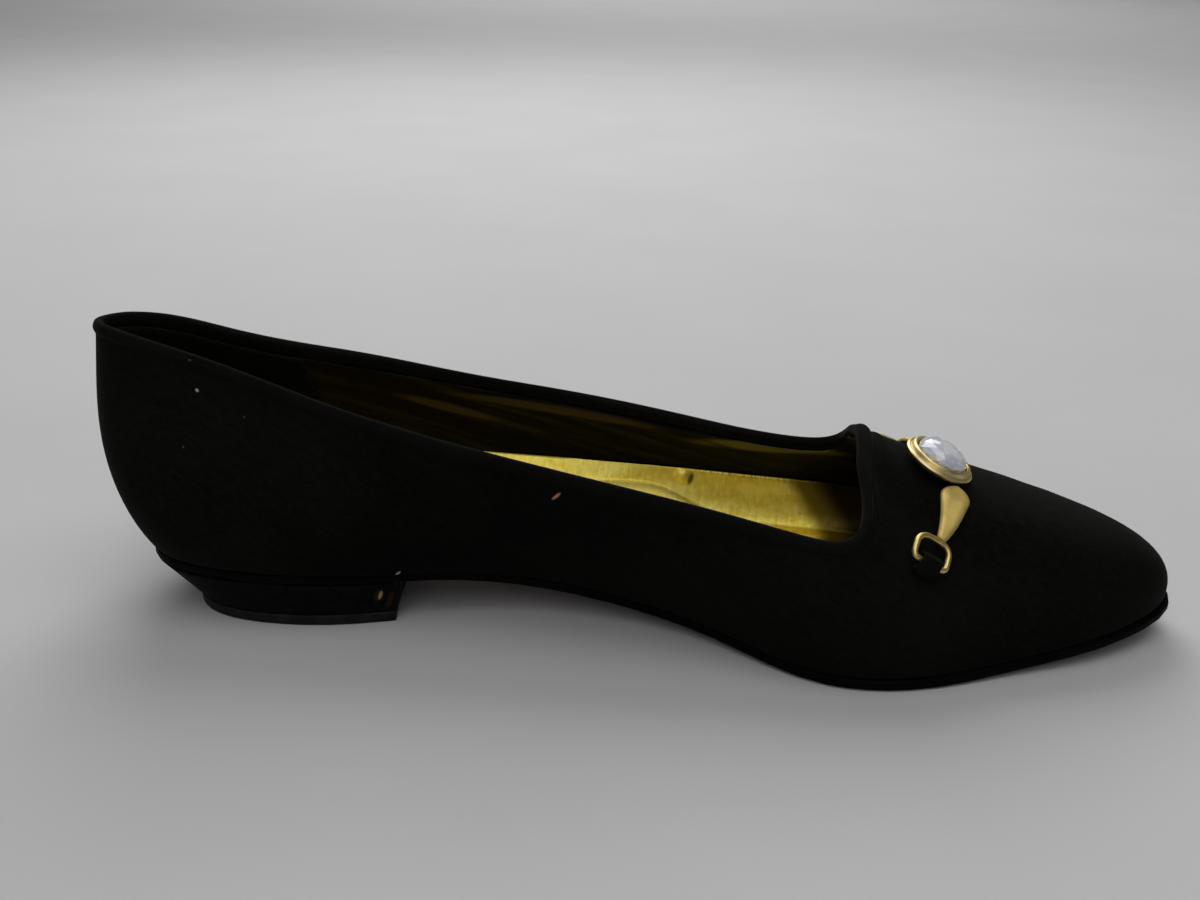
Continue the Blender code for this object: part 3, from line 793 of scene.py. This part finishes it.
def pleat_shade_row(place):
    """Painted shade of fine pleats in a row below the sock's upper edge."""
    x, z = (place.axis(letter) for letter in "XZ")
    below_edge = SOCK_SLOPE.dot(SOCK_LINE) - (z + SOCK_SLOPE.x * x)
    pleats = place.grain(PLEAT_SIZE, 1.0, PLEAT_STRETCH).between(0.45, 0.65)
    return pleats * below_edge.between(PLEAT_FOOT, PLEAT_TOP) * x.between(PLEATS_FROM, PLEATS_TO)


def sock_finish(name, board):
    """Gold leather, with the dark edge and underside of a board if it covers one."""
    gold = Finish(name, Metallic=0.6, Specular_IOR_Level=0.15)
    grain = gold.place.grain(SOCK_GRAIN, 2.0)
    smears = gold.place.grain(SMEAR_SIZE, 3.0, SMEAR_STRETCH)
    crinkles = gold.place.grain(CRINKLE_SIZE, 3.0, CRINKLE_STRETCH)
    tone = 0.5 * smears + 0.3 * crinkles + 0.2 * grain
    colour = tone.between(0.36, 0.62).mixed(GOLD_DEEP, GOLD_BRIGHT)
    # A painted shadow along the pad's step
    colour = (0.6 * pad_step_shadow(gold.place)).mixed(colour, GOLD_IN_SHADE)
    # Painted shade in the folds of the pleats
    colour = (0.6 * pleat_shade_row(gold.place)).mixed(colour, CREASE_SHADE_DARK)
    # Painted shadow beside the small fold
    colour = (0.85 * gold.place.spot(*FOLD_SHADOW)).mixed(colour, CREASE_SHADE_DARK)
    # Painted shade under the vamp, slanted so that it starts sooner higher up the wall
    vamp_shade_place = gold.place.axis("X") + SHADE_SLANT * (gold.place.axis("Z") - SHADE_HEIGHT)
    colour = (0.92 * vamp_shade_place.between(SHADE_BROWN_FROM, SHADE_BROWN_TO)).mixed(colour, GOLD_IN_SHADE)
    colour = vamp_shade_place.between(SHADE_BROWN_TO, SHADE_TO).mixed(colour, BOARD_AND_SHADE_DARK)
    if board:
        colour = gold.upwards().between(0.15, 0.5).mixed(BOARD_AND_SHADE_DARK, colour)
    gold.feed("Base Color", colour)
    gold.feed("Roughness", 0.38 + 0.12 * grain)
    gold.bump(0.2 * grain + 0.35 * smears + 0.45 * crinkles, SOCK_DEPTH, 0.7)
    return gold


wear(sock_side, sock_finish("gold sock leather", False), "gold_sock")
wear(sock, sock_finish("gold sock on its board", True), "gold_sock", "insole")

# %% [markdown]
# ## The sole
# The sole is a thin piece of leather with a black edge and a brown tread that is rubbed paler in places. It
# keeps the part's shape, rounded, with its edges held crisp. One finish does for both colours, because the
# tread is where the surface looks down.

# %% Shape and finish the sole
SOLE_EDGE = (math.radians(40), 0.75)
EDGE_BLACK = (0.0012, 0.0012, 0.0010, 1.0)
TREAD_BROWN = (0.095, 0.056, 0.033, 1.0)
TREAD_PALE = (0.20, 0.135, 0.085, 1.0)
SOLE_FIBRE = 0.6 * MM
SOLE_STRETCH = (8.0, 1.0, 1.0)
RUBBING_SIZE = 30 * MM
SOLE_DEPTH = 0.1 * MM


def sole_finish():
    leather = Finish("sole leather", Specular_IOR_Level=0.04)
    fibres = leather.place.grain(SOLE_FIBRE, 4.0, SOLE_STRETCH)
    rubbing = leather.place.grain(RUBBING_SIZE, 3.0)
    tread = (0.5 * fibres + 0.5 * rubbing).between(0.3, 0.75).mixed(TREAD_BROWN, TREAD_PALE)
    leather.feed("Base Color", leather.upwards().between(-0.55, -0.9).mixed(EDGE_BLACK, tread))
    leather.feed("Roughness", 0.5 + 0.3 * rubbing)
    leather.bump(fibres, SOLE_DEPTH, 0.5)
    return leather


sole = copy_of("outsole", "sole")
keep_edges(sole, *SOLE_EDGE)
rounded(sole)
wear(sole, sole_finish(), "sole_leather", "outsole")

# %% [markdown]
# ## Heel and lift
# The heel is a low block with a black cover, chipped at its front corner, with a painted glint in the chip, on
# a lift of black rubber that shows a little dust. Both keep the part's shapes, and are rounded in the same way.

# %% Shape and finish the heel and its lift
BLOCK_EDGE = (math.radians(35), 0.85)
COVER_DARK = (0.0012, 0.0012, 0.0012, 1.0)
COVER_LIGHT = (0.0035, 0.0035, 0.0035, 1.0)
COVER_MOTTLE = 2 * MM
COVER_PORES = 0.4 * MM
COVER_DEPTH = 0.08 * MM
CHIP_BROWN = (0.022, 0.012, 0.004, 1.0)
# A painted glint: the pale spot inside the first chip
CHIP_GLINT = (0.34, 0.25, 0.14, 1.0)
CHIP_TURN = falling(18)
# Centre and radii in millimetres, and colour
CHIPS = (
    ((-58.6, -20.4, 7.7), (1.5, 2.0, 2.2), CHIP_BROWN),
    ((-56.2, -19.4, 6.2), (0.9, 2.0, 3.6), CHIP_BROWN),
    ((-58.2, -20.4, 7.9), (0.5, 2.0, 1.6), CHIP_GLINT),
)
RUBBER_DARK = (0.0035, 0.0036, 0.0034, 1.0)
RUBBER_LIGHT = (0.0110, 0.0112, 0.0105, 1.0)
DUST_SIZE = 3 * MM
RUBBER_PORES = 0.5 * MM
RUBBER_DEPTH = 0.06 * MM


def cover_finish():
    cover = Finish("black heel cover", Specular_IOR_Level=0.05)
    mottle = cover.place.grain(COVER_MOTTLE, 4.0)
    colour = mottle.between(0.35, 0.65).mixed(COVER_DARK, COVER_LIGHT)
    for centre, radii, shade in CHIPS:
        colour = cover.place.spot(centre, radii, CHIP_TURN).mixed(colour, shade)
    cover.feed("Base Color", colour)
    cover.feed("Roughness", 0.42 + 0.3 * mottle)
    cover.bump(cover.place.grain(COVER_PORES, 2.0), COVER_DEPTH, 0.5)
    return cover


def rubber_finish():
    rubber = Finish("black lift rubber", Specular_IOR_Level=0.2)
    dust = rubber.place.grain(DUST_SIZE, 5.0)
    rubber.feed("Base Color", dust.between(0.4, 0.7).mixed(RUBBER_DARK, RUBBER_LIGHT))
    rubber.feed("Roughness", 0.45 + 0.3 * dust)
    rubber.bump(rubber.place.grain(RUBBER_PORES, 3.0), RUBBER_DEPTH, 0.5)
    return rubber


for node, name, finish, slot in (
    ("heel", "heel_block", cover_finish(), "heel_covering"),
    ("top_lift", "heel_lift", rubber_finish(), "lift_rubber"),
):
    block = copy_of(node, name)
    keep_edges(block, *BLOCK_EDGE)
    rounded(block)
    wear(block, finish, slot, node)

# %% [markdown]
# ## Satin gold
# The bit is cast metal with a thin gold plate, brushed so that it shines softly. Its brush marks are noise
# drawn out along the paddles, across the shoe. They change how rough the metal is and give it a faint relief,
# and its colour has slow clouds of wear. The wire of the rings is bright, with no direction in its marks.

# %% Write the gold
PLATE = (0.72, 0.56, 0.19, 1.0)
PLATE_WORN = (0.60, 0.45, 0.14, 1.0)
PLATE_PALE = (0.74, 0.61, 0.30, 1.0)
BRUSH_SIZE = 0.18 * MM
BRUSH_DEPTH = 0.015 * MM
WEAR_SIZE = 3 * MM
ALONG_PADDLES = (1.0, 12.0, 12.0)


def gold_finish(name, plate, brush, dullness):
    gold = Finish(name, Metallic=1.0)
    marks = gold.place.grain(BRUSH_SIZE, 2.0, brush)
    clouds = gold.place.grain(WEAR_SIZE, 3.0)
    gold.feed("Base Color", clouds.between(0.4, 0.7).mixed(plate, PLATE_WORN))
    gold.feed("Roughness", dullness + 0.16 * marks)
    gold.bump(marks, BRUSH_DEPTH, 0.5)
    return gold


satin_gold = gold_finish("satin gold", PLATE_PALE, ALONG_PADDLES, 0.34)
brushed_gold = gold_finish("brushed gold", PLATE, ALONG_PADDLES, 0.55)
bright_gold = gold_finish("bright gold wire", PLATE, EVEN, 0.32)
print("three golds")

# %% [markdown]
# ## The medallion and its stone
# The bezel is turned: it is the same all round. It is made as on a lathe, from a circle that is pulled up
# the axis step by step and resized at each step. Its place and axis are read from the part's own medallion.

# %% Turn the bezel
# Radius and height in millimetres, from the foot up and over the rim
BEZEL = (
    (7.0, 0.0), (7.8, 0.25), (8.2, 0.7), (8.3, 1.1), (8.1, 1.45), (7.75, 1.6), (7.5, 1.55), (7.4, 1.7),
    (7.3, 2.2), (7.1, 2.5), (6.8, 2.65), (6.5, 2.6), (6.3, 2.35), (6.2, 1.9), (6.15, 1.2),
)
BEZEL_STEPS = 96
BEZEL_SHARP = math.radians(40)
SAME_POINT_DIGITS = 7


def turned_axis(node):
    """Foot and direction of the axis of a turned node, from how its points spread."""
    points = np.array([point.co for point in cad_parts[node].data.vertices])
    points = np.unique(points.round(SAME_POINT_DIGITS), axis=0)
    spread = np.linalg.svd(points - points.mean(axis=0), full_matrices=False)[2]
    axis = Vector(spread[2])
    axis = axis if axis.z > 0.0 else -axis
    middle = Vector(points.mean(axis=0))
    lowest = min(axis.dot(Vector(point) - middle) for point in points)
    return middle + axis * lowest, axis


def turn(name, outline, steps, twist=0.0):
    """Pulls a circle up Z through the radii and heights of an outline, turning each ring by a twist."""
    bpy.ops.object.select_all(action="DESELECT")
    radius, height = outline[0]
    bpy.ops.mesh.primitive_circle_add(
        vertices=steps, radius=radius * MM, fill_type="NGON", location=(0.0, 0.0, height * MM)
    )
    piece = bpy.context.object
    piece.name = name
    bpy.ops.object.transform_apply(location=True)
    bpy.ops.object.mode_set(mode="EDIT")
    bpy.ops.mesh.select_all(action="SELECT")
    for (radius, height), (next_radius, next_height) in zip(outline, outline[1:]):
        rise = {"value": (0.0, 0.0, (next_height - height) * MM)}
        bpy.ops.mesh.extrude_region_move(TRANSFORM_OT_translate=rise)
        factor = next_radius / radius
        centre = (0.0, 0.0, next_height * MM)
        bpy.ops.transform.resize(value=(factor, factor, 1.0), center_override=centre)
        if twist:
            bpy.ops.transform.rotate(value=twist, orient_axis="Z", center_override=centre)
    bpy.ops.mesh.select_all(action="SELECT")
    bpy.ops.mesh.normals_make_consistent(inside=False)
    bpy.ops.object.mode_set(mode="OBJECT")
    return piece


def stand(piece, foot, axis):
    """Sets a turned piece on its foot, along its axis, with its place in its mesh."""
    only(piece)
    piece.matrix_world = Matrix.Translation(foot) @ axis.to_track_quat("Z", "Y").to_matrix().to_4x4()
    bpy.ops.object.transform_apply(location=True, rotation=True, scale=True)


medallion_foot, medallion_axis = turned_axis("medallion")
bezel = turn("bezel", BEZEL, BEZEL_STEPS)
bpy.ops.object.shade_smooth_by_angle(angle=BEZEL_SHARP)
stand(bezel, medallion_foot, medallion_axis)
wear(bezel, satin_gold, "satin_gold", "medallion")

# %% [markdown]
# The stone is pressed glass with a foil back, milky white with a little blue and violet. It is turned in the
# same way, but each ring is turned by half a step against the one below, so that its faces split into the
# triangles of a cut stone. Their shades come from cells of noise, because each facet mirrors another part of
# the room.

# %% Cut and finish the stone
# Radius and height in millimetres
STONE = ((5.7, 1.3), (6.0, 2.1), (5.95, 2.8), (5.4, 3.8), (4.2, 4.6), (2.4, 5.1))
STONE_STEPS = 14
STONE_WHITE = (0.72, 0.73, 0.75, 1.0)
STONE_BLUE = (0.55, 0.57, 0.66, 1.0)
STONE_VIOLET = (0.60, 0.55, 0.64, 1.0)
CELLS_PER_METRE = 420.0
STONE_CLOUDS = 2.5 * MM


def stone_finish():
    glass = Finish("milky stone", Roughness=0.06, Coat_Weight=0.6, Coat_Roughness=0.03, IOR=1.6)
    inputs = {"Vector": glass.place, "Scale": CELLS_PER_METRE}
    cells = glass.place.node("ShaderNodeTexVoronoi", {}, inputs, "Color")
    tone = 0.6 * cells.axis("X") + 0.4 * glass.place.grain(STONE_CLOUDS, 3.0)
    colour = tone.between(0.3, 0.8).mixed(STONE_WHITE, STONE_BLUE)
    colour = cells.axis("Y").between(0.75, 0.95).mixed(colour, STONE_VIOLET)
    glass.feed("Base Color", colour)
    return glass


stone = turn("stone", STONE, STONE_STEPS, math.pi / STONE_STEPS)
bpy.ops.object.mode_set(mode="EDIT")
bpy.ops.mesh.select_all(action="SELECT")
bpy.ops.mesh.quads_convert_to_tris(quad_method="SHORTEST_DIAGONAL", ngon_method="BEAUTY")
bpy.ops.object.mode_set(mode="OBJECT")
bpy.ops.object.shade_flat()
stand(stone, medallion_foot, medallion_axis)
wear(stone, stone_finish(), "stone", "crystal")

# %% [markdown]
# ## Paddles, rings and tabs
# On each side a paddle runs from the medallion to a wire ring, and a tab of suede holds the ring. The part
# has their shapes, so copies are rounded: the paddles keep their bevelled edges, and the wire becomes truly
# round.

# %% Round the paddles, rings and tabs
PADDLE_EDGE = (math.radians(25), 0.85)
TAB_EDGE = (math.radians(50), 0.2)

for side in ("inner", "outer"):
    paddle = copy_of("arm_" + side, "paddle_" + side)
    keep_edges(paddle, *PADDLE_EDGE)
    rounded(paddle)
    wear(paddle, brushed_gold, "satin_gold", "arm_" + side)
    ring = copy_of("ring_" + side, "wire_ring_" + side)
    rounded(ring)
    wear(ring, bright_gold, "satin_gold", "ring_" + side)
    tab = copy_of("tab_" + side, "ring_tab_" + side)
    keep_edges(tab, *TAB_EDGE)
    rounded(tab)
    wear(tab, trim_suede, "suede", "tab_" + side)
